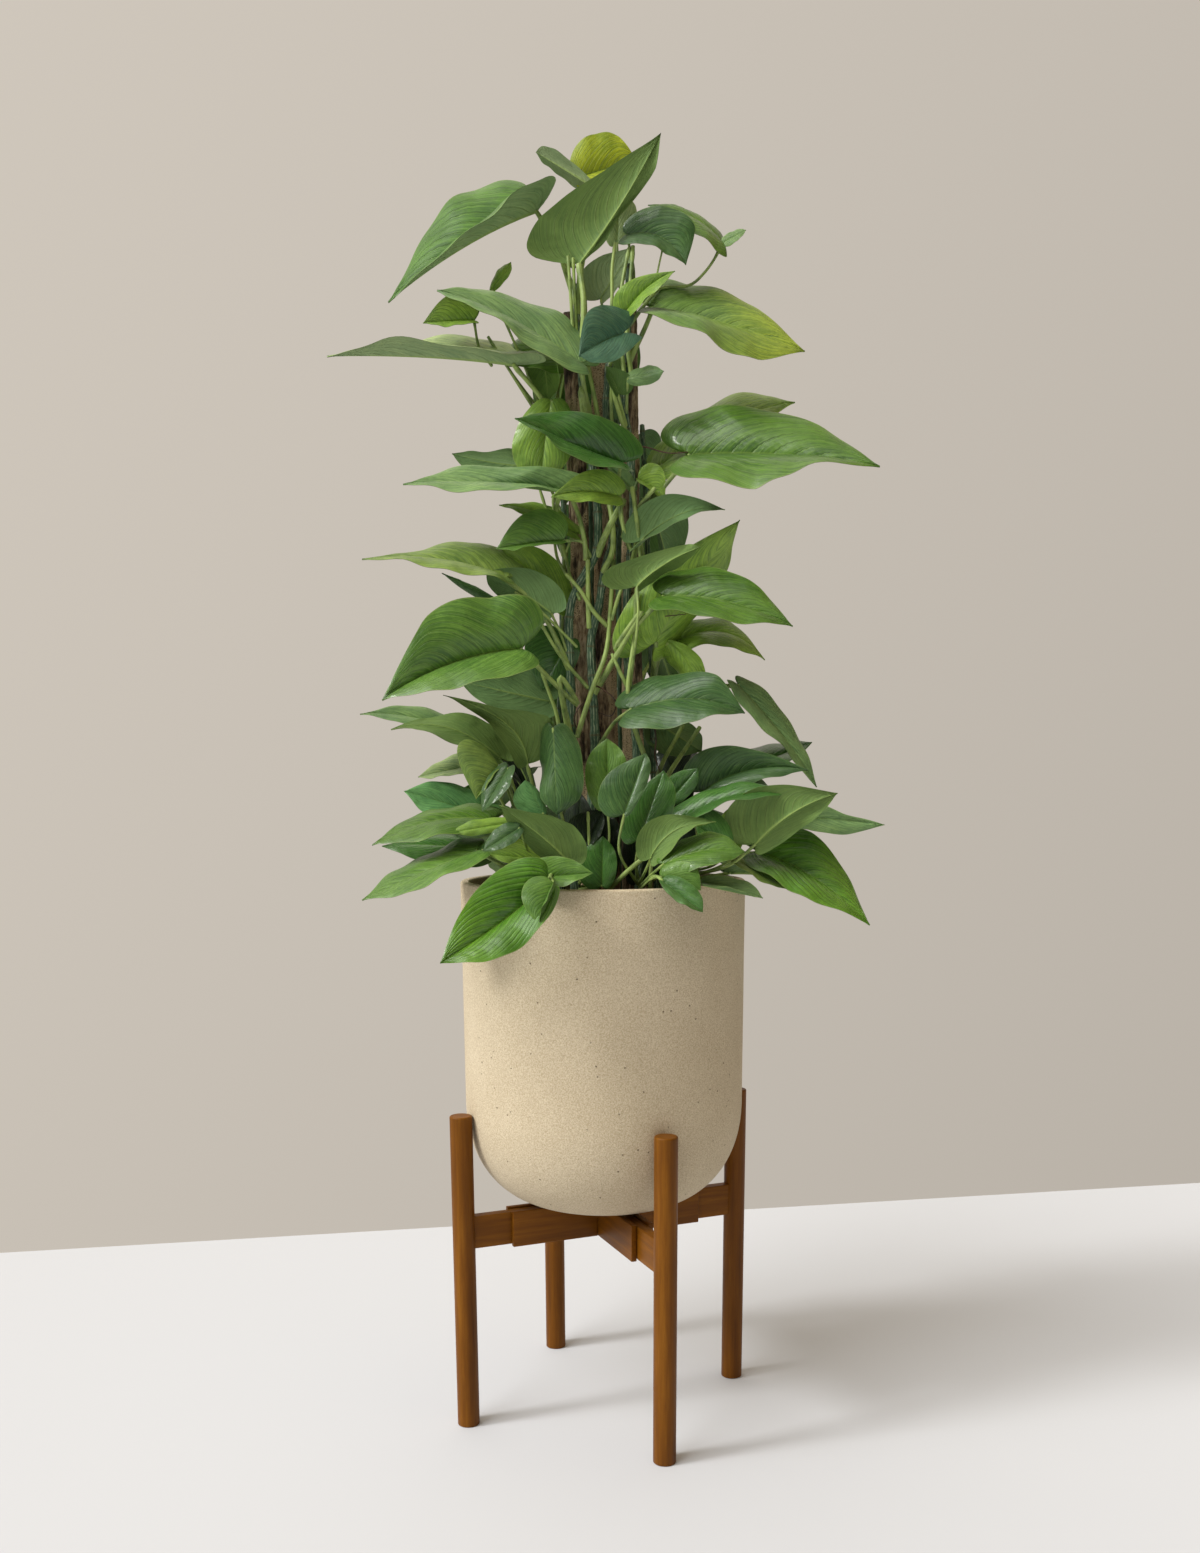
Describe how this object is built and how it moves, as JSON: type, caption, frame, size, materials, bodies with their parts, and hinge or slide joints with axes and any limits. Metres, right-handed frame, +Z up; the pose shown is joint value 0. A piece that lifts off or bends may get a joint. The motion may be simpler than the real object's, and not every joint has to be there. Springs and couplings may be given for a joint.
{
  "type": "potted jade pothos",
  "caption": "Jade pothos climbing rough bark stakes in a matte round-bottomed planter, held by a dowel-legged wooden stand whose legs slide out to fit.",
  "frame": {"origin": "on the floor under the planter's axis, between the feet of the stand", "axes": "+Z up, +X to the right of the front view, -Y towards the viewer of the front view"},
  "size_m": [0.5357, 0.42, 1.2593],
  "materials": {
    "stand_wood": "satin",
    "planter": "matte",
    "bark": "matte",
    "soil": "matte",
    "foliage": "satin"
  },
  "bodies": {
    "body": {"slat_front_back_a": "stand_wood", "slat_front_back_b": "stand_wood", "slat_left_right_a": "stand_wood", "slat_left_right_b": "stand_wood", "planter": "planter", "stake_left": "bark", "stake_middle": "bark", "stake_right": "bark", "vine_middle": "foliage", "vine_left": "foliage", "vine_right": "foliage", "vine_far_right": "foliage", "vine_far_left": "foliage", "shoot_left": "foliage", "shoot_front_left": "foliage", "shoot_front": "foliage", "shoot_front_right": "foliage", "shoot_right": "foliage", "shoot_far_right": "foliage", "vine_back_left": "foliage", "vine_back_middle": "foliage", "vine_back_right": "foliage", "shoot_back_left": "foliage", "shoot_back": "foliage", "shoot_back_right": "foliage", "soil": "soil"},
    "leg_right": {"leg_right": "stand_wood", "tongue_right": "stand_wood"},
    "leg_back": {"leg_back": "stand_wood", "tongue_back": "stand_wood"},
    "leg_left": {"leg_left": "stand_wood", "tongue_left": "stand_wood"},
    "leg_front": {"leg_front": "stand_wood", "tongue_front": "stand_wood"}
  },
  "joints": [
    {"name": "slide_right", "type": "slide", "parent": "body", "child": "leg_right", "axis": [0.9258, 0.3781, 0], "range_m": [0, 0.025]},
    {"name": "slide_back", "type": "slide", "parent": "body", "child": "leg_back", "axis": [-0.3781, 0.9258, 0], "range_m": [0, 0.025]},
    {"name": "slide_left", "type": "slide", "parent": "body", "child": "leg_left", "axis": [-0.9258, -0.3781, 0], "range_m": [0, 0.025]},
    {"name": "slide_front", "type": "slide", "parent": "body", "child": "leg_front", "axis": [0.3781, -0.9258, 0], "range_m": [0, 0.025]}
  ]
}
